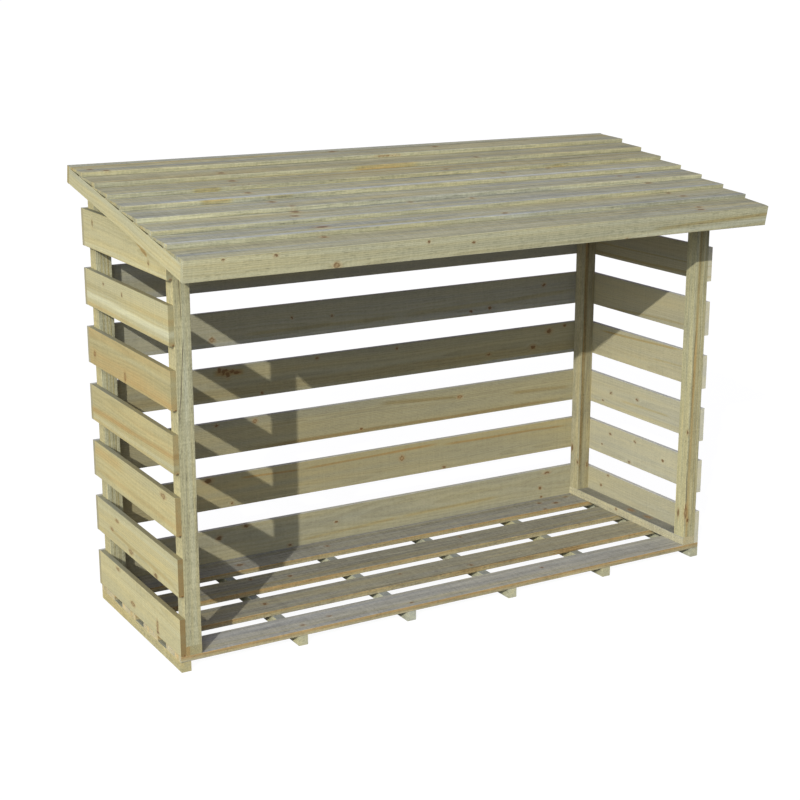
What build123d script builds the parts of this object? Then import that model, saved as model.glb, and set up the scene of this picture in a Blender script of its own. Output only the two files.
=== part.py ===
from build123d import *

import math
import os

# A log store: a slatted timber frame with an open front and a lean-to roof of lapped boards.
# Millimetres. X runs along the front, Y from the front to the back, and Z is up from the ground.

# Overall sizes of the frame
frame_width = 1740
frame_depth = 600
rear_height = 1258
roof_pitch = 10.5
front_overhang = 190

# Bearers, which run from front to back on the ground
bearer_count = 6
bearer_width = 28
bearer_height = 28

# Floor boards, which run along the front
floor_board_count = 4
floor_board_width = 104
floor_board_thickness = 16

# Sole plates and posts
post_width = 45
post_depth = 45
plate_height = 26

# Slats of the two sides and the back
slat_levels = 7
slat_height = 104
slat_thickness = 15
slat_clearance = 0.5
floor_lap = 1.5

# Rafters and fascias
rafter_depth = 45
rafter_thickness = 32
fascia_thickness = 16

# Tapered roof boards, thick at the lower edge, each lapping over the one below
roof_board_width = 125
top_board_width = 104
least_lap = 20
roof_thick_edge = 12
roof_thin_edge = 2.5

# Eased arrises of the sawn timber
eased_edge = 1.2

# Heights and lengths that follow from the sizes above
slope = math.radians(roof_pitch)
half_frame = frame_width / 2
floor_underside = bearer_height
floor_top = floor_underside + floor_board_thickness
post_foot = floor_top + plate_height
slope_length = (frame_depth + front_overhang) / math.cos(slope)
roof_half_width = half_frame + rafter_thickness
roof_taper = (roof_thick_edge - roof_thin_edge) / roof_board_width
top_board_edge = roof_thick_edge - roof_taper * top_board_width
roof_run = slope_length - top_board_width
roof_board_count = math.ceil(roof_run / (roof_board_width - least_lap)) + 1
roof_board_gauge = roof_run / (roof_board_count - 1)

# The origin is on the ground in the middle of the whole outline, roof included
front_reach = front_overhang + roof_thick_edge * math.sin(slope)
rear_reach = frame_depth + fascia_thickness * math.cos(slope) + rafter_depth * math.sin(slope)
frame_front = (front_reach - rear_reach) / 2
frame_back = frame_front + frame_depth


def roof_line(y):
    """Height of the rafters' top faces at a place from front to back."""
    return rear_height - (frame_back - y) * math.tan(slope)


# Levels of the slats: even steps from the floor to the roof line at the front posts
top_slat_top = roof_line(frame_front) - slat_clearance
slat_pitch = (top_slat_top - floor_top - slat_height) / (slat_levels - 1)
slat_bottoms = [floor_top + level * slat_pitch for level in range(slat_levels)]

# The roof's own plane: along the slope from the front fascia's face, and square to the rafters
roof_front = frame_front - front_overhang


def roof_plane(x):
    """Plane at one place along the front, with its first axis up the slope."""
    return Plane(
        origin=(x, roof_front, roof_line(roof_front)),
        x_dir=(0, math.cos(slope), math.sin(slope)),
        z_dir=(1, 0, 0),
    )


def save(part, name):
    """Name a finished piece and write its file."""
    part.label = name
    export_step(part, f"parts/{name}.step")


os.makedirs("parts", exist_ok=True)

# Floor bearers: six square battens under the floor, the end ones flush with its ends
bearer_step = (frame_width - bearer_width) / (bearer_count - 1)
with BuildPart() as floor_bearers:
    with BuildSketch(Plane.XZ.offset(-frame_front)):
        with Locations((0, bearer_height / 2)):
            with GridLocations(bearer_step, 0, bearer_count, 1):
                Rectangle(bearer_width, bearer_height)
    extrude(amount=-frame_depth)
    fillet(floor_bearers.edges().filter_by(Axis.Y), eased_edge)
save(floor_bearers.part, "floor_bearers")

# Floor boards: laid across the bearers with even gaps, flush at the front and the back
floor_step = (frame_depth - floor_board_width) / (floor_board_count - 1)
for number in range(floor_board_count):
    board_middle = frame_front + floor_board_width / 2 + number * floor_step
    with BuildPart() as floor_board:
        with BuildSketch(Plane.YZ.offset(-half_frame)):
            with Locations((board_middle, floor_underside + floor_board_thickness / 2)):
                Rectangle(floor_board_width, floor_board_thickness)
        extrude(amount=frame_width)
        fillet(floor_board.edges().filter_by(Axis.X), eased_edge)
    save(floor_board.part, f"floor_board_{number + 1}")

# Each side has a sole plate on the floor boards, two posts on it, and slats outside the posts
sides = {"left": -half_frame + slat_thickness, "right": half_frame - slat_thickness - post_width}
post_places = {"front": frame_front, "rear": frame_back - post_depth}

for side, post_x in sides.items():
    with BuildPart() as sole_plate:
        with BuildSketch(Plane.XY.offset(floor_top)):
            with Locations((post_x + post_width / 2, frame_front + frame_depth / 2)):
                Rectangle(post_width, frame_depth)
        extrude(amount=plate_height)
        fillet(sole_plate.edges().filter_by(Axis.Y), eased_edge)
    save(sole_plate.part, f"{side}_sole_plate")

# Posts: cut at the top along the roof line, so that the roof boards lie on them
for side, post_x in sides.items():
    for place, post_y in post_places.items():
        with BuildPart() as post:
            with BuildSketch(Plane.YZ.offset(post_x)):
                with BuildLine():
                    Polyline(
                        (post_y, post_foot),
                        (post_y + post_depth, post_foot),
                        (post_y + post_depth, roof_line(post_y + post_depth)),
                        (post_y, roof_line(post_y)),
                        close=True,
                    )
                make_face()
            extrude(amount=post_width)
            fillet(post.edges().filter_by(Axis.Z), eased_edge)
        save(post.part, f"{side}_{place}_post")

# Side slats: level 1 is the top one, nailed to the posts' outer faces
slat_faces = {"left": -half_frame, "right": half_frame - slat_thickness}
for side, slat_x in slat_faces.items():
    for level, bottom in enumerate(reversed(slat_bottoms), start=1):
        with BuildPart() as side_slat:
            with BuildSketch(Plane.XZ.offset(-frame_front)):
                with Locations((slat_x + slat_thickness / 2, bottom + slat_height / 2)):
                    Rectangle(slat_thickness, slat_height)
            extrude(amount=-frame_depth)
            fillet(side_slat.edges().filter_by(Axis.Y), eased_edge)
        save(side_slat.part, f"{side}_slat_{level}")

# Rear slats: on the rear posts' back faces, and over the back ends of the side slats.
# The bottom one hangs a little lower, so that it laps the floor's back edge.
for level, bottom in enumerate(reversed(slat_bottoms), start=1):
    if level == slat_levels:
        bottom -= floor_lap
    with BuildPart() as rear_slat:
        with BuildSketch(Plane.YZ.offset(-half_frame)):
            with Locations((frame_back + slat_thickness / 2, bottom + slat_height / 2)):
                Rectangle(slat_thickness, slat_height)
        extrude(amount=frame_width)
        fillet(rear_slat.edges().filter_by(Axis.X), eased_edge)
    save(rear_slat.part, f"rear_slat_{level}")

# Rafters: cut square at both ends, two outside the side slats and one in the middle of the roof
rafter_length = slope_length - fascia_thickness
rafters = {
    "left_rafter": -roof_half_width,
    "centre_rafter": -rafter_thickness / 2,
    "right_rafter": half_frame,
}
for name, rafter_x in rafters.items():
    with BuildPart() as rafter:
        with BuildSketch(roof_plane(rafter_x)):
            with Locations((fascia_thickness + rafter_length / 2, -rafter_depth / 2)):
                Rectangle(rafter_length, rafter_depth)
        extrude(amount=rafter_thickness)
        end_faces = rafter.faces().sort_by(Axis.Y)
        long_edges = rafter.edges() - end_faces[0].edges() - end_faces[-1].edges()
        fillet(long_edges, eased_edge)
    save(rafter.part, name)

# Fascias: nailed over the square rafter ends, up to the top of the roof board beside them
fascias = {
    "front_fascia": (0, roof_thick_edge),
    "rear_fascia": (slope_length, top_board_edge),
}
for name, (fascia_start, fascia_rise) in fascias.items():
    with BuildPart() as fascia:
        with BuildSketch(roof_plane(-roof_half_width)):
            with Locations((fascia_start + fascia_thickness / 2, (fascia_rise - rafter_depth) / 2)):
                Rectangle(fascia_thickness, rafter_depth + fascia_rise)
        extrude(amount=2 * roof_half_width)
        fillet(fascia.edges().filter_by(Axis.X), eased_edge)
    save(fascia.part, name)

# Roof boards: number 1 is the top one. The lowest lies flat on the rafters behind the front fascia.
# Each other one has its thin edge on the rafters and its thick edge on the board below.
nose_height = 0
for number in range(roof_board_count, 0, -1):
    nose = (roof_board_count - number) * roof_board_gauge
    lowest = number == roof_board_count
    board_start = fascia_thickness if lowest else nose
    board_end = min(nose + roof_board_width, slope_length)
    thin_edge = roof_thick_edge - roof_taper * (board_end - board_start)
    with BuildPart() as roof_board:
        with BuildSketch(roof_plane(-roof_half_width)):
            with BuildLine():
                Polyline(
                    (board_start, nose_height),
                    (board_end, 0),
                    (board_end, thin_edge),
                    (board_start, nose_height + roof_thick_edge),
                    close=True,
                )
            make_face()
        extrude(amount=2 * roof_half_width)
        nose_face = roof_board.faces().sort_by(Axis.Y)[0]
        fillet(nose_face.edges().filter_by(Axis.X), eased_edge)
    save(roof_board.part, f"roof_board_{number}")
    top_fall = (nose_height + roof_thick_edge - thin_edge) / (board_end - board_start)
    nose_height = thin_edge + top_fall * (board_end - nose - roof_board_gauge)
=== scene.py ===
import math
import random

import bpy
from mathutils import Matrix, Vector


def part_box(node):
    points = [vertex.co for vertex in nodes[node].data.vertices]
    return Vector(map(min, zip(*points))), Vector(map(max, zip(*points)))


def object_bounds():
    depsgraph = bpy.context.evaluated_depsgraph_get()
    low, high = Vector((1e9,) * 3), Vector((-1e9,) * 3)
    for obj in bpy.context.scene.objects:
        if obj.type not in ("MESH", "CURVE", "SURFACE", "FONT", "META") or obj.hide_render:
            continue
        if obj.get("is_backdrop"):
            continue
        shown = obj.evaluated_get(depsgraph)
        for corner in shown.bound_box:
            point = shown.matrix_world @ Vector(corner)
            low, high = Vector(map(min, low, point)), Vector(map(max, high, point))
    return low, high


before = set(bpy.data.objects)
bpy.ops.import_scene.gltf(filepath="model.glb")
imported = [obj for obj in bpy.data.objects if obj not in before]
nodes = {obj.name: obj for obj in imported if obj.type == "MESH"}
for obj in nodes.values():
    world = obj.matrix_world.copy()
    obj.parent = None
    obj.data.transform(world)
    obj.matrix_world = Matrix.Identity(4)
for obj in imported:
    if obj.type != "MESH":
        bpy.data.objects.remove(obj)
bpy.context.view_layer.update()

scene = bpy.context.scene


# Floor bearers
# Six square battens that run from front to back on the ground. They are sawn softwood, treated with
# a green preservative that has dried to a pale straw colour, and the floor boards are nailed to them.

class Wire:
    """One output socket in a material. Its operators add Math nodes."""

    def __init__(self, finish, socket):
        self.finish, self.socket = finish, socket

    def maths(self, operation, *others):
        values = {0: self, **dict(enumerate(others, 1))}
        return self.finish.node("ShaderNodeMath", {"operation": operation}, values)

    def __add__(self, other):
        return self.maths("ADD", other)

    def __sub__(self, other):
        return self.maths("SUBTRACT", other)

    def __rsub__(self, other):
        return self * -1 + other

    def __mul__(self, other):
        return self.maths("MULTIPLY", other)

    def __truediv__(self, other):
        return self.maths("DIVIDE", other)

    def __pow__(self, other):
        return self.maths("POWER", other)

    def __abs__(self):
        return self.maths("ABSOLUTE")

    __radd__ = __add__

    def output(self, name):
        """Another output of the same node."""
        return Wire(self.finish, self.socket.node.outputs[name])

    def ramp(self, start, end, low=0.0, high=1.0):
        """A smooth step from low at start to high at end."""
        values = {"Value": self, "From Min": start, "From Max": end, "To Min": low, "To Max": high}
        return self.finish.node("ShaderNodeMapRange", {"interpolation_type": "SMOOTHSTEP"}, values)


class Finish:
    """The nodes of one material, or of the sky."""

    def __init__(self, owner):
        owner.use_nodes = True
        self.owner = owner
        self.tree = owner.node_tree
        self.tree.nodes.clear()

    def node(self, kind, settings=None, values=None, output=0):
        """Adds a node, with its settings first and then the values or links of its sockets."""
        made = self.tree.nodes.new(kind)
        for name, value in (settings or {}).items():
            if name == "stops":
                stops = made.color_ramp.elements
                for place, _ in value[len(stops):]:
                    stops.new(place)
                for stop, (place, colour) in zip(stops, value):
                    stop.position, stop.color = place, colour
            else:
                setattr(made, name, value)
        for name, value in (values or {}).items():
            if isinstance(value, Wire):
                self.tree.links.new(value.socket, made.inputs[name])
            else:
                made.inputs[name].default_value = value
        return Wire(self, made.outputs[output]) if made.outputs else None

    def vector(self, operation, *values, output=0):
        return self.node("ShaderNodeVectorMath", {"operation": operation}, dict(enumerate(values)), output)

    def along(self, place, axis):
        """How far a place lies along an axis."""
        return self.vector("DOT_PRODUCT", place, axis, output="Value")

    def noise(self, place, scale, offset, detail=2.0):
        """Soft noise from 0 to 1, with a scale in waves per metre along each axis."""
        there = self.vector("MULTIPLY_ADD", place, scale, offset)
        return self.node("ShaderNodeTexNoise", None, {"Vector": there, "Scale": 1.0, "Detail": detail})

    def mix(self, share, first, second):
        """The colour first, with a share of second over it."""
        return self.node("ShaderNodeMix", {"data_type": "RGBA"}, {0: share, 6: first, 7: second}, 2)


X_AXIS, Y_AXIS, Z_AXIS = Vector((1, 0, 0)), Vector((0, 1, 0)), Vector((0, 0, 1))

# Treated timber from blue-grey through straw and ochre to rust, as its warmth goes from 0 to 1
timber_colours = [
    (0.00, (0.970, 1.000, 0.840, 1)),
    (0.20, (0.975, 0.972, 0.730, 1)),
    (0.40, (0.990, 0.952, 0.605, 1)),
    (0.60, (1.000, 0.912, 0.495, 1)),
    (0.80, (1.000, 0.840, 0.375, 1)),
    (1.00, (1.000, 0.690, 0.255, 1)),
]
knot_brown = (0.165, 0.075, 0.021, 1)
knot_heart = (0.37, 0.205, 0.075, 1)
knot_halo = (0.48, 0.255, 0.075, 1)
crack_brown = (0.10, 0.075, 0.045, 1)

# Knots are drawn a little smaller than their named size, because the rough rim adds to them
knot_units_per_metre = 1300

# A band whose half length in metres is more than this runs off both ends of its board
longest_band = 0.89


def middle(name):
    low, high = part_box(name)
    return (Vector(low) + Vector(high)) / 2


def dress(name, along, across, seed, face, edge, end, knots=(), eyes=(), bands=(), cracks=(),
          rings=0.10, flecks=0.20, saw=0.12, grain=1.0, grit=1.0, streaks=1.0, pith=(0.02, 0.09),
          under=None, lift=0.0, fade=0.0, blush=0.0, brown=0.8, centre=None, repeat=0.0):
    """Gives a carried-over board its own timber finish, in every slot.

    u runs along the grain, v across the wide face and w through the board, all from its middle or
    from centre. face, edge and end are each the paleness and the warmth of the timber there, and
    under is the same for the lower edge.

    The marks are placed in millimetres. Knots are (u, v, half length, half width) and go right
    through the board, or (u, v, w, half length, half width) and stay near one surface. Eyes are
    knots with a pale heart. Bands are (u, v, u, v, half width, warmth, paleness) from one place to
    another, and cracks are (u, v, u, v, half width). The growth rings are shells of equal distance
    from a pith line that lies beside the board, within the two distances of pith in metres.

    rings, flecks, saw, grain, grit and streaks are the strengths of the rings, of the flecks of
    bark and resin, of the saw's marks, of the fibres, of the fine speckle and of the broad streaks.
    lift is how much warmer the edges get per metre through the board, and fade how much they do
    towards the far end of the grain. blush is the share of green taken out, and brown how dark the
    knots are. Where several pieces share one node, repeat is the distance between them across the
    grain, and each gets a grain and a warmth of its own.
    """
    draw = random.Random(seed)
    finish = Finish(bpy.data.materials.new(f"{name.replace('_', ' ')} timber"))
    place = finish.node("ShaderNodeTexCoord", output="Object")
    through = along.cross(across)
    spot = finish.vector("SUBTRACT", place, centre or middle(name))
    u, v, w = (finish.along(spot, axis) for axis in (along, across, through))
    if repeat:
        count = (v / repeat).maths("ROUND")
        grain_shift = 7.3
        v = v - count * repeat
        u = u + count * grain_shift
    at = finish.node("ShaderNodeCombineXYZ", None, {0: u, 1: v, 2: w})

    def lot():
        """A drawn offset, so that no two noises have the same pattern."""
        return tuple(draw.uniform(0, 60) for _ in range(3))

    # Slow and quick wandering, for the lines that follow the grain
    sway = finish.noise(at, (1.6, 0, 0), lot(), 1.5)
    sway_channels = finish.node("ShaderNodeSeparateColor", None, {0: sway.output("Color")})
    sideways = (sway - 0.5) * 0.022
    ruffle = finish.noise(at, (7, 60, 60), lot(), 1.0) - 0.5

    # Rough rims for the knots: each place is moved by up to half of this, along and across
    rim = (0.014, 0.011, 0.0)
    jitter = finish.noise(at, (110, 190, 190), lot()).output("Color")
    shifted = finish.vector("SUBTRACT", at, tuple(size / 2 for size in rim))
    rough_spot = finish.vector("MULTIPLY_ADD", jitter, rim, shifted)

    def nearest(marks):
        """How many of its own half sizes away the nearest mark is, or None where there are none."""
        found = None
        for *spot_mm, half_length, half_width in marks:
            local = len(spot_mm) == 3
            place_mm = spot_mm if local else (*spot_mm, 0.0)
            half_u, half_v = half_length / knot_units_per_metre, half_width / knot_units_per_metre
            halves = (half_u, half_v, half_v if local else math.inf)
            scale = tuple(1 / half for half in halves)
            offset = tuple(-part / 1000 / half for part, half in zip(place_mm, halves))
            scaled = finish.vector("MULTIPLY_ADD", rough_spot, scale, offset)
            reach = finish.vector("LENGTH", scaled, output="Value")
            found = reach if found is None else found.maths("MINIMUM", reach)
        return found

    def stripe(mark, sway_share, ruffle_share, core, flat):
        """1 along a line between two places on the board, with soft sides and soft ends."""
        start_u, start_v, stop_u, stop_v, half_width = mark
        slant = (stop_v - start_v) / (stop_u - start_u)
        line = finish.along(at, (-slant, 1.0, 0.0)) - (start_v - slant * start_u) / 1000
        reach = abs(line + sideways * sway_share + ruffle * ruffle_share)
        inside = reach.ramp(half_width / 1000, half_width / 1000 * core)
        middle_u, half_length = (start_u + stop_u) / 2000, abs(stop_u - start_u) / 2000
        if half_length < longest_band:
            inside = inside * abs(u - middle_u).ramp(half_length + 0.01, half_length * flat)
        return inside

    # Growth rings, with the pale spring wood fading into darker summer wood, and bent round knots
    knot_reach, eye_reach = nearest(knots), nearest(eyes)
    pith_v = draw.uniform(-0.04, 0.04)
    pith_w = draw.choice((-1, 1)) * draw.uniform(*pith)
    from_v = v - pith_v + (sway_channels - 0.5) * 0.016
    from_w = w - pith_w + (sway_channels.output("Green") - 0.5) * 0.02
    tilt = draw.uniform(-0.008, 0.008)
    radius = (from_v ** 2 + from_w ** 2).maths("SQRT") + ruffle * 0.003 + u * tilt
    for reach in (knot_reach, eye_reach):
        if reach is not None:
            radius = radius + (reach * reach * -0.22).maths("EXPONENT") * 0.006
    ring_width = draw.uniform(0.0032, 0.0050)
    phase = (radius / ring_width).maths("FRACT")
    late = phase.ramp(0.2, 0.85) * phase.ramp(1.0, 0.9)

    # Broad streaks, fibres, flecks of bark and resin, and the marks of the saw
    broad = finish.noise(at, (0.9, 32, 32), lot()) - 0.5
    fine = finish.noise(at, (3.2, 95, 95), lot()) - 0.5
    fibre = finish.noise(at, (15, 270, 270), lot()) - 0.5
    fleck = finish.noise(at, (55, 340, 340), lot(), 0.0).ramp(0.62, 0.78)
    speckle = finish.noise(at, (170, 430, 430), lot(), 1.0) - 0.5
    sawn = finish.noise(at, (150, 5, 5), lot(), 1.0) - 0.5
    blotch = finish.noise(at, (2.5, 16, 16), lot()) - 0.5

    # Which way the surface faces
    normal = finish.node("ShaderNodeTexCoord", output="Normal")
    side = finish.along(normal, across)
    on_edge = abs(side).ramp(0.6, 0.8)
    on_end = abs(finish.along(normal, along)).ramp(0.6, 0.8)
    pale = on_edge * (edge[0] - face[0]) + on_end * (end[0] - face[0]) + face[0]
    warmth = on_edge * (edge[1] - face[1]) + on_end * (end[1] - face[1]) + face[1]
    if under:
        below = (side * -1).ramp(0.6, 0.8)
        pale = pale + below * (under[0] - edge[0])
        warmth = warmth + below * (under[1] - edge[1])

    # Paleness and warmth: each weight is how much that pattern changes the board's own
    level = 1.07 + fibre * (0.40 * grain) + fine * (0.36 * grain) + broad * (0.30 * streaks) + blotch * 0.30
    level = level + sawn * (saw * 2.6) + speckle * (0.75 * grit) - late * rings - fleck * flecks
    warmth = warmth + broad * (0.45 * streaks) + fine * (0.12 * grain) + blotch * 0.26 + late * (rings * 0.35)
    if lift:
        warmth = warmth + on_edge * w * lift
    if fade:
        warmth = warmth + on_edge * u.ramp(0.0, 0.2) * fade
    if repeat:
        own_warmth = (count * 1.7).maths("SINE") * 0.13
        from_left_end = abs(count + 3)
        warmth = warmth + own_warmth + from_left_end.ramp(0.6, 0.4, 0.0, 0.25)
    for *line, warmer, paler in bands:
        band = stripe(line, 0.6, 0.004, 0.25, 0.75)
        level = level + band * paler
        warmth = warmth + band * warmer

    # Colour and depth, with the eyes, knots and cracks over them
    shade = finish.node("ShaderNodeValToRGB", {"stops": timber_colours}, {0: warmth})
    if blush:
        shade = finish.vector("MULTIPLY", shade, (1.0, 1.0 - blush, 1.0))
    colour = finish.node("ShaderNodeVectorMath", {"operation": "SCALE"}, {0: shade, 3: level * pale})
    depth = late * 0.25 + fibre * 0.5 + sawn * 0.3 - fleck * 0.6
    if eye_reach is not None:
        eye_ring = eye_reach.ramp(0.4, 0.8) * eye_reach.ramp(1.3, 0.9)
        colour = finish.mix(eye_reach.ramp(2.4, 0.9) * 0.35, colour, knot_halo)
        colour = finish.mix(eye_reach.ramp(1.05, 0.7) * 0.35, colour, knot_heart)
        colour = finish.mix(eye_ring * (brown * 0.75), colour, knot_brown)
        depth = depth + eye_reach.ramp(1.1, 0.8) * 0.4
    if knot_reach is not None:
        colour = finish.mix(knot_reach.ramp(2.4, 0.9) * 0.25, colour, knot_halo)
        colour = finish.mix(knot_reach.ramp(1.25, 0.6) * brown, colour, knot_brown)
        depth = depth + knot_reach.ramp(1.1, 0.8) * 0.3 - knot_reach.ramp(0.5, 0.2) * 0.8
    for line in cracks:
        crack = stripe(line, 0.5, 0.008, 0.4, 0.85) * (1 - on_end)
        colour = finish.mix(crack * 0.8, colour, crack_brown)
        depth = depth - crack * 2

    bump = finish.node("ShaderNodeBump", None, {"Strength": 0.5, "Distance": 0.0006, "Height": depth})
    gloss = 0.78 + fibre * 0.12 + late * 0.05
    values = {"Base Color": colour, "Roughness": gloss, "Normal": bump, "Specular IOR Level": 0.22}
    shader = finish.node("ShaderNodeBsdfPrincipled", None, values)
    finish.node("ShaderNodeOutputMaterial", None, {"Surface": shader})
    for slot in nodes[name].material_slots:
        slot.material = finish.owner


bearer_count = 6
bearer_width = 0.028
low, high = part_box("floor_bearers")
bearer_step = (high[0] - low[0] - bearer_width) / (bearer_count - 1)

# The middle of the six lies between two of them, so the marks are centred on the next one
bearer_middle = middle("floor_bearers") + X_AXIS * bearer_step / 2
dress("floor_bearers", Y_AXIS, X_AXIS, 11, face=(0.343, 0.00), edge=(0.613, 0.41), end=(0.530, 0.43),
      centre=bearer_middle, repeat=bearer_step)

# Floor boards
# Four boards nailed across the bearers, with gaps that let the air under the logs. Their tops have
# greyed a little, and their front edges are a warm ochre.
floor_boards = {
    1: dict(
        face=(0.439, 0.17),
        knots=[(-407, 1, 7, 6), (-498, -19, 8, 7), (-160, -30, 6, 5), (320, 12, 6, 6)],
        bands=[(-900, 30, 900, 22, 16, -0.1, 0.06), (-900, -30, 900, -34, 12, 0.12, 0.0)],
    ),
    2: dict(
        face=(0.364, 0.39),
        knots=[(-524, 4, 9, 9), (147, -29, 8, 7), (-76, 14, 6, 5)],
        bands=[(-301, -46, 611, -50, 4, 0.35, -0.35), (-900, 20, 900, 26, 14, 0.1, 0.04)],
    ),
    3: dict(
        face=(0.336, 0.39),
        knots=[(-366, -2, 8, 8), (249, 32, 7, 7), (-480, 30, 6, 6)],
        bands=[(-900, -20, 900, -26, 12, 0.14, -0.04)],
    ),
    4: dict(
        face=(0.342, 0.18),
        knots=[(-457, -10, 14, 9), (-153, 4, 8, 8), (659, 15, 9, 8), (708, -10, 14, 9), (640, -45, 8, 6),
               (774, 24, 9, 6)],
        bands=[(-900, 24, 900, 30, 14, 0.14, -0.05)],
    ),
}
for number, marks in floor_boards.items():
    dress(f"floor_board_{number}", X_AXIS, Y_AXIS, 20 + number, edge=(0.450, 0.80), end=(0.678, 0.64),
          grain=1.7, streaks=1.5, lift=28.0, blush=0.05, **marks)

# Sole plates and posts
# A plate lies on the floor boards at each side, and the four square posts stand on the plates. The
# posts are cut from the heart of the tree, so they show upright cracks and dark heart streaks.
sole_plates = {
    "left": dict(
        seed=31, face=(0.32, 0.34), edge=(0.58, 0.5), end=(0.411, 0.74),
        bands=[(-900, -17, 900, -17, 7, 0.35, -0.08)],
    ),
    "right": dict(
        seed=32, face=(0.260, 0.16), edge=(0.591, 0.44), end=(0.542, 0.62), blush=0.04,
        knots=[(40, -22.5, -6, 8, 5)], eyes=[(-8, 1, 16, 8), (-91, 6, 16, 8)],
    ),
}
for side, marks in sole_plates.items():
    dress(f"{side}_sole_plate", Y_AXIS, X_AXIS, **marks)

posts = {
    "left_front": dict(
        seed=41, face=(0.456, 0.64), edge=(0.618, 0.68), flecks=0.28, grain=1.2,
        cracks=[(277, 2, 60, -16, 1.3), (-146, 22, -281, 17, 1.2), (450, -8, 330, -4, 1.0)],
        bands=[(-600, 8, 600, 4, 9, -0.12, 0.05)],
    ),
    "left_rear": dict(
        seed=42, face=(0.495, 0.51), edge=(0.634, 0.67), rings=0.2, grain=1.3, streaks=0.5,
        bands=[(600, 14, -600, 10, 3, 0.3, -0.16), (600, 3, -600, 5, 2.5, 0.24, -0.14),
               (600, -6, -600, -8, 2.5, 0.24, -0.14)],
    ),
    "right_front": dict(
        seed=43, face=(0.472, 0.61), edge=(0.603, 0.62), grain=1.6, saw=0.04,
        knots=[(-470, -22.5, 7, 18, 6), (-203, -22.5, -19, 9, 5), (-488, -9, -22.5, 9, 4),
               (-440, -17, -22.5, 9, 3)],
        eyes=[(-460, -17, -22.5, 24, 6)],
        cracks=[(110, -13, -40, -17, 1.0), (-330, -19, -430, -17, 1.2)],
        bands=[(600, -5, -120, -13, 8, 0.24, -0.06), (-40, -13, -600, -12, 7, 0.22, -0.05),
               (600, -8, 200, -9, 2, 0.1, -0.10), (200, -9, -200, -16, 2, 0.1, -0.15),
               (-150, -8, -600, -4, 2, 0.1, -0.12), (600, 3, -600, 5, 2, 0.16, -0.12),
               (600, 14, -600, 12, 3, 0.14, -0.10)],
    ),
    "right_rear": dict(
        seed=44, face=(0.357, 0.62), edge=(0.526, 0.56), grain=1.5, saw=0.04, blush=0.03,
        knots=[(-455, -22.5, 14, 16, 7), (-498, -22.5, -18, 9, 6), (-510, 14, -22.5, 12, 4)],
        bands=[(600, -10, -600, -13, 8, 0.30, -0.18), (600, -17, -600, -17, 3, 0.3, -0.05)],
    ),
}
for place, marks in posts.items():
    dress(f"{place}_post", Z_AXIS, X_AXIS, end=(0.42, 0.6), pith=(0.03, 0.07), **marks)

# Side slats
# Seven boards nailed to the outer faces of the posts on each side, level 1 at the top. They are
# finer sawn than the posts. The edges of the left ones are darker and warmer, most at the front.
left_slats = {
    1: dict(
        face=(0.653, 0.72), end=(0.348, 0.64), knots=[(228, 20, 6, 11), (-181, -27, 6, 9)],
        bands=[(-90, 22, -168, -6, 8, 0.35, -0.12), (-135, 0, -168, -8, 5, 0.35, -0.2),
               (-900, -44, 900, -44, 8, -0.1, 0.05)],
    ),
    2: dict(
        face=(0.629, 0.64), end=(0.399, 0.73), knots=[(163, 30, 7, 5), (22, 24, 6, 8)],
        bands=[(-900, -26, 900, -16, 13, -0.14, 0.24), (-900, 6, 900, 10, 12, 0.10, -0.06),
               (-900, -47, 900, -45, 8, 0.16, -0.03)],
    ),
    3: dict(
        face=(0.554, 0.83), end=(0.378, 0.82), eyes=[(259, -18, 9, 10), (25, -33, 8, 15)],
        bands=[(-900, -39, 60, -41, 10, 0.05, 0.0), (-900, 14, 900, 22, 10, -0.06, 0.04)],
    ),
    4: dict(
        face=(0.604, 0.79), end=(0.377, 0.87),
        bands=[(-900, 10, 900, -35, 11, 0.14, -0.09), (-900, -30, 900, -44, 9, -0.12, 0.07)],
    ),
    5: dict(
        face=(0.633, 0.73), end=(0.371, 0.92), eyes=[(-217, 35, 18, 8)],
        bands=[(-900, -30, 900, -24, 12, 0.08, -0.03), (60, 30, 600, 20, 26, 0.12, -0.02)],
    ),
    6: dict(
        face=(0.639, 0.68), end=(0.310, 1.00), knots=[(-142, -44, 15, 8)],
        eyes=[(144, 23, 14, 5), (190, -15, 14, 5), (42, -36, 17, 7)],
        bands=[(-297, -31, 206, -17, 9, 0.16, -0.10), (-900, 34, 900, 30, 10, -0.08, 0.04)],
    ),
    7: dict(
        face=(0.657, 0.68), end=(0.286, 1.00), knots=[(-140, -41, 11, 6)],
        eyes=[(156, 42, 14, 5), (46, -25, 17, 7), (-138, -22, 8, 17)],
        bands=[(-900, 10, 900, 4, 14, -0.06, 0.04)],
    ),
}
right_slats = {
    1: dict(face=(0.40, 0.50)),
    2: dict(
        face=(0.491, 0.48),
        bands=[(-900, -8, 900, -10, 3, 0.2, -0.1), (-900, -42, 900, -40, 6, 0.22, -0.1)],
    ),
    3: dict(face=(0.552, 0.51), bands=[(-232, -34, 222, -53, 6, 0.22, -0.12)]),
    4: dict(
        face=(0.594, 0.54),
        bands=[(-190, 48, 218, 33, 5, 0.35, -0.10), (-230, 0, -60, -6, 5, 0.16, -0.04)],
    ),
    5: dict(
        face=(0.607, 0.43), knots=[(147, 0, 7, 5), (10, 8, 8, 5), (189, -34, 6, 4)],
        bands=[(-157, -8, 98, -14, 6, 0.2, -0.08), (-300, -36, 300, -44, 7, 0.12, 0.02)],
    ),
    6: dict(
        face=(0.606, 0.40),
        knots=[(144, 26, 7, 5), (12, 32, 7, 5), (38, -43, 8, 5), (186, -20, 6, 4), (-130, 6, 7, 5)],
    ),
    7: dict(face=(0.538, 0.42), knots=[(184, 2, 7, 5), (147, 46, 7, 5)]),
}
slat_timber = dict(end=(0.652, 0.38), grain=0.5, grit=0.45, saw=0.05, streaks=0.75, flecks=0.08, rings=0.08)

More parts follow.
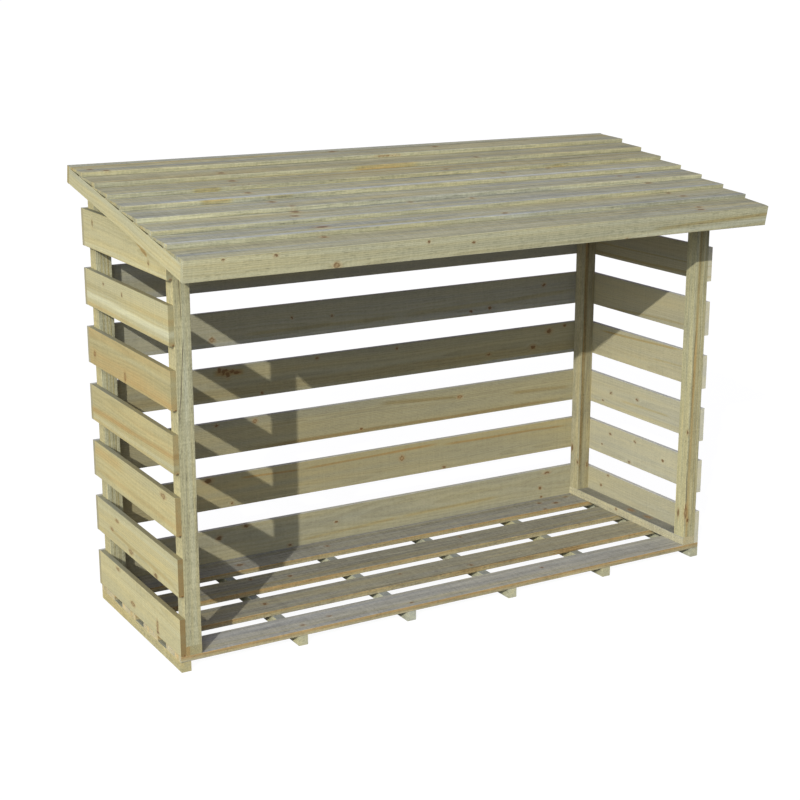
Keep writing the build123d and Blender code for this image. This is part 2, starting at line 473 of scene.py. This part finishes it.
# Each left slat gets a painted contact shadow under its front end: a dark spot, drawn as a knot, in place of
# the shade where the slat end meets the post
painted_shadow_under_end = (-300, -52, 3, 7, 5)
for level, marks in left_slats.items():
    marks = {**slat_timber, **marks, "knots": [*marks.get("knots", []), painted_shadow_under_end]}
    dress(f"left_slat_{level}", Y_AXIS, Z_AXIS, 51 + level, edge=(0.303, 0.74), fade=-0.3, brown=0.7, **marks)
for level, marks in right_slats.items():
    marks = {**slat_timber, **marks}
    dress(f"right_slat_{level}", Y_AXIS, Z_AXIS, 61 + level, edge=(0.680, 0.07), blush=0.035, **marks)

# Rear slats
# Seven boards nailed to the backs of the rear posts, over the ends of the side slats, with level 1
# at the top behind the roof. They are the same timber as the side slats, and a little rougher.
rear_slats = {
    1: dict(face=(0.42, 0.45), knots=[(-420, 20, 8, 7), (130, -24, 7, 6), (520, 10, 9, 7)]),
    2: dict(
        face=(0.432, 0.28), knots=[(-610, -12, 8, 7), (60, 18, 7, 6)],
        bands=[(-900, -10, -60, -12, 30, 0.14, -0.05)],
    ),
    3: dict(
        face=(0.412, 0.33), eyes=[(-499, -29, 9, 8)],
        knots=[(-237, 9, 5, 5), (-102, 1, 6, 5), (682, 21, 8, 7), (472, -34, 7, 6), (400, -38, 6, 5)],
        bands=[(-409, -24, 137, -25, 9, 0.22, -0.06), (137, -25, 809, -8, 10, 0.2, -0.05),
               (-900, -44, 900, -42, 8, -0.12, 0.08)],
    ),
    4: dict(
        face=(0.386, 0.56),
        knots=[(-478, 42, 8, 12), (-466, 35, 7, 13), (-452, 27, 9, 12), (-438, 35, 10, 6), (-422, 30, 14, 6),
               (-459, 41, 15, 4), (-342, -43, 6, 5), (-155, 42, 6, 5), (126, 40, 6, 5), (707, 30, 13, 10),
               (644, -17, 12, 9), (470, -22, 8, 6), (770, 42, 7, 6)],
        bands=[(-900, -26, 900, -26, 22, 0.16, -0.06), (437, -48, 900, -45, 6, -0.35, 0.0),
               (-494, 36, -402, 32, 13, 0.3, -0.12)],
    ),
    5: dict(
        face=(0.391, 0.56), rings=0.16, pith=(0.012, 0.02),
        eyes=[(-367, 39, 9, 7), (361, 17, 10, 7)], knots=[(-494, 42, 7, 5), (-4, -38, 6, 5)],
        bands=[(-419, -48, 809, -44, 8, 0.22, -0.22), (64, 32, 361, 17, 9, 0.2, -0.16),
               (560, 2, 800, -6, 9, 0.18, -0.14)],
    ),
    6: dict(
        face=(0.411, 0.65), eyes=[(144, 10, 10, 9)],
        knots=[(-526, 41, 16, 10), (-450, -41, 6, 5), (303, -45, 8, 6)],
        bands=[(-421, 34, -219, 28, 5, 0.3, -0.05), (-219, 28, 287, 38, 6, 0.28, -0.06),
               (287, 33, 804, 26, 6, 0.3, -0.05)],
    ),
    7: dict(
        face=(0.400, 0.51),
        knots=[(-406, 46, 12, 6), (-496, 22, 11, 9), (-258, -43, 8, 6), (-96, 4, 6, 5), (686, -12, 8, 6),
               (712, 38, 15, 5), (691, -45, 6, 4)],
        bands=[(-223, -33, 137, -20, 7, 0.2, -0.05), (137, -20, 524, -17, 7, 0.2, -0.05)],
    ),
}
for level, marks in rear_slats.items():
    dress(f"rear_slat_{level}", X_AXIS, Z_AXIS, 70 + level, edge=(0.570, 0.17), end=(0.5, 0.6),
          grain=0.6, grit=0.5, saw=0.05, flecks=0.1, blush=0.03, **marks)

# Rafters and fascias
# Two rafters outside the side slats and one in the middle of the roof, with a fascia nailed over
# their square ends at the front and the back.
slope = math.radians(10.5)
up_slope = Vector((0, math.cos(slope), math.sin(slope)))
off_slope = Vector((0, -math.sin(slope), math.cos(slope)))
# Each rafter's top edge is painted very dark, a painted shade for the slits between the rafter and the ends
# of the roof boards; its lower edge keeps a plainer tone (under)
for seed, place in enumerate(("left", "centre", "right"), start=81):
    dress(f"{place}_rafter", up_slope, off_slope, seed, face=(0.613, 0.62), edge=(0.17, 0.85), end=(0.6, 0.5),
          under=(0.5, 0.5), grain=0.6, grit=0.5, streaks=1.8, saw=0.05, flecks=0.05, rings=0.08)
fascias = {
    "front": dict(
        seed=91, face=(0.517, 0.57), edge=(0.389, 0.43), end=(0.56, 0.5),
        grain=0.45, grit=0.5, saw=0.07, rings=0.16, pith=(0.015, 0.025), eyes=[(-495, -20, 11, 8)],
        knots=[(-802, 22, 5, 4), (-664, 20, 7, 5), (-235, 18, 6, 4), (-99, 6, 6, 4), (403, -31, 8, 5),
               (476, -32, 8, 5)],
        bands=[(480, -10, 960, 6, 7, 0.28, -0.13), (-900, 20, 900, 18, 8, -0.08, 0.06),
               (380, -31, 960, -10, 10, -0.16, 0.10)],
    ),
    "rear": dict(
        seed=92, face=(0.5, 0.5), edge=(0.42, 0.3), end=(0.5, 0.8),
        knots=[(-300, 0, 8, 6), (510, -14, 8, 7)],
    ),
}
for place, marks in fascias.items():
    dress(f"{place}_fascia", X_AXIS, off_slope, **marks)

# Roof boards
# Eight tapered boards, each nailed with its thick edge on the board below it. They are rough sawn
# and weathered, and the front of each top is a little paler than the rest.
thick_edge = (0.440, 0.50)
roof_boards = {
    1: dict(
        face=(0.450, 0.47), edge=thick_edge,
        knots=[(-831, -40, 10, 9), (-866, -10, 9, 8), (-104, 36, 12, 10), (239, 15, 14, 10)],
        eyes=[(20, -53, 6, 30, 3), (62, -55, 6, 18, 4)],
        bands=[(-900, 30, 900, 34, 14, 0.2, -0.08), (0, -57, 78, -57, 6, 0.4, -0.10)],
    ),
    2: dict(
        face=(0.426, 0.56), edge=thick_edge, knots=[(-530, -30, 12, 10), (293, -42, 12, 8)],
        bands=[(-880, -52, -380, -48, 5, 0.35, -0.12), (-140, -61, 85, -61, 4, 0.3, -0.06),
               (-900, 20, 900, 20, 14, -0.12, 0.03)],
    ),
    3: dict(
        face=(0.424, 0.49), edge=(0.470, 0.66),
        knots=[(-524, 8, 13, 11), (134, -31, 12, 8), (-556, -56, 5, 3), (-542, -48, 5, 4), (-520, -56, 6, 3),
               (-500, -50, 5, 4), (-473, -57, 6, 3)],
        bands=[(-460, -4, 960, 8, 7, 0.34, -0.13), (280, -58.5, 960, -58, 1.8, 0.35, -0.05),
               (-700, -47, 100, -56, 4, 0.16, -0.04), (-665, -61, -590, -61, 4, 0.3, -0.10)],
    ),
    4: dict(
        face=(0.462, 0.40), edge=(0.500, 0.58),
        knots=[(-529, -7, 12, 9), (296, 12, 10, 8), (473, 36, 9, 8)],
        bands=[(-880, -46, 880, -42, 9, -0.6, 0.18), (-685, -61, -600, -61, 4, 0.32, -0.10),
               (-505, -61, -425, -61, 4, 0.25, -0.12), (-900, 20, 900, 24, 12, 0.2, -0.05)],
    ),
    5: dict(
        face=(0.426, 0.35), edge=(0.470, 0.38),
        knots=[(-497, 13, 12, 10), (684, -29, 14, 8), (-471, -52, 10, 7), (642, 4, 12, 8)],
        bands=[(-900, 8, 900, 2, 12, -0.1, 0.04), (-900, -40, 900, -36, 9, 0.16, -0.05)],
    ),
    6: dict(
        face=(0.442, 0.39), edge=thick_edge,
        knots=[(-472, 26, 15, 12), (-495, -20, 13, 9), (70, 22, 10, 9), (-121, 34, 9, 8), (693, 32, 14, 9)],
        bands=[(-900, -52, 900, -55, 6, -0.3, 0.08), (-900, 10, 900, 4, 10, 0.14, -0.03)],
    ),
    7: dict(
        face=(0.439, 0.39), edge=thick_edge,
        knots=[(-466, -16, 21, 12), (75, -37, 10, 9), (702, -19, 14, 10), (690, 33, 9, 8)],
        bands=[(-960, -44, 260, -58, 7, -0.5, 0.12), (-900, 20, 900, 16, 12, 0.12, -0.03)],
    ),
    8: dict(
        face=(0.416, 0.50), edge=thick_edge,
        knots=[(-489, 19, 11, 9), (687, -19, 11, 9), (672, -45, 14, 8)],
        bands=[(-900, 12, 900, 6, 14, 0.12, -0.04), (-900, -30, 900, -32, 9, -0.15, 0.04)],
    ),
}
pale_front = (-900, -52, 900, -52, 16, -0.04, 0.05)
for number, marks in roof_boards.items():
    marks["bands"].append(pale_front)
    dress(f"roof_board_{number}", X_AXIS, up_slope, 100 + number, end=(0.53, 0.66),
          grain=2.2, grit=0.6, streaks=2.2, brown=0.7, **marks)

# Floor of the studio
# A plain white floor, just under the bearers. The camera sees it almost shadowless, as on a white
# page, and it throws a soft light back up under the roof.
ground_reach = 400.0
ground_height = -0.0003
ground_corners = [
    (-ground_reach, -ground_reach, ground_height),
    (ground_reach, -ground_reach, ground_height),
    (ground_reach, ground_reach, ground_height),
    (-ground_reach, ground_reach, ground_height),
]
ground_mesh = bpy.data.meshes.new("studio_floor")
ground_mesh.from_pydata(ground_corners, [], [(0, 1, 2, 3)])
ground = bpy.data.objects.new("studio_floor", ground_mesh)
scene.collection.objects.link(ground)
white = Finish(bpy.data.materials.new("studio white"))
bounce_grey = (0.28, 0.28, 0.28, 1)
seen_grey = (0.10, 0.10, 0.10, 1)
page_glow = 0.965
seen = white.node("ShaderNodeLightPath", output="Is Camera Ray")
matt = white.node("ShaderNodeBsdfDiffuse", None, {"Color": white.mix(seen, bounce_grey, seen_grey)})
glow = white.node("ShaderNodeEmission", None, {"Color": (1, 1, 1, 1), "Strength": seen * page_glow})
both = white.node("ShaderNodeAddShader", None, {0: matt, 1: glow})
white.node("ShaderNodeOutputMaterial", None, {"Surface": both})
ground_mesh.materials.append(white.owner)
ground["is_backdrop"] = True

# Light
# A hard sun from the front left, a large soft light close by on the same side, which falls off
# towards the right, and a pale sky that is brighter round the sun and towards the left.

def aim(light, way):
    """Puts a light in the scene, shining one way."""
    made = bpy.data.objects.new(light.name, light)
    made.rotation_euler = Vector(way).to_track_quat("-Z", "Y").to_euler()
    scene.collection.objects.link(made)
    return made


sun = bpy.data.lights.new("sun", "SUN")
sun.energy = 2.04
sun.angle = math.radians(0.6)
aim(sun, (0.975, 1.0, -0.709))
towards_sun = (-0.622, -0.638, 0.452)

softbox = bpy.data.lights.new("softbox", "AREA")
softbox.shape = "DISK"
softbox.size = 3.0
softbox.energy = 45.0
softbox.color = (0.90, 1.03, 1.30)
softbox_lamp = aim(softbox, (2.5, 2.6, -2.0))
softbox_lamp.location = (-2.5, -2.6, 2.7)
softbox_lamp.visible_camera = False

sky = Finish(bpy.data.worlds.new("sky"))
direction = sky.node("ShaderNodeTexCoord", output="Generated")
upward = sky.along(direction, (0.0, 0.0, 1.0)).maths("MAXIMUM", 0.0)
leftward = sky.along(direction, (-1.0, 0.0, 0.0)).maths("MAXIMUM", 0.0)
sunward = sky.along(direction, towards_sun).maths("MAXIMUM", 0.0)
even_glow = leftward * leftward * 0.20 + 0.125
sun_glow = sky.vector("MULTIPLY_ADD", sunward ** 3 * 0.60, (0.88, 1.0, 1.25), even_glow)
sky_glow = sky.vector("MULTIPLY_ADD", upward * upward, (0.10, 0.06, 0.24), sun_glow)
camera_ray = sky.node("ShaderNodeLightPath", output="Is Camera Ray")
sky_colour = sky.mix(camera_ray, sky_glow, (1, 1, 1, 1))
backdrop = sky.node("ShaderNodeBackground", None, {"Color": sky_colour, "Strength": 1.0})
sky.node("ShaderNodeOutputWorld", None, {"Surface": backdrop})
scene.world = sky.owner

# Camera
# It stands to the front left, a little above the roof, turned towards the store and tipped down.
# Its place and its long lens were worked out from the corners of the store in the photograph.
photo_width_px = 800
focal_length_px = 1588.83
lens = bpy.data.cameras.new("camera")
lens.sensor_width = 36.0
lens.lens = focal_length_px / photo_width_px * lens.sensor_width
lens.clip_end = 900.0
camera_turn = -0.5243
camera_tip = 0.2621
camera = bpy.data.objects.new("camera", lens)
camera.location = (-2.2938, -3.8196, 1.7682)
camera.rotation_euler = (math.pi / 2 - camera_tip, 0.0, camera_turn)
scene.collection.objects.link(camera)
scene.camera = camera
scene.view_settings.view_transform = "Standard"

low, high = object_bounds()
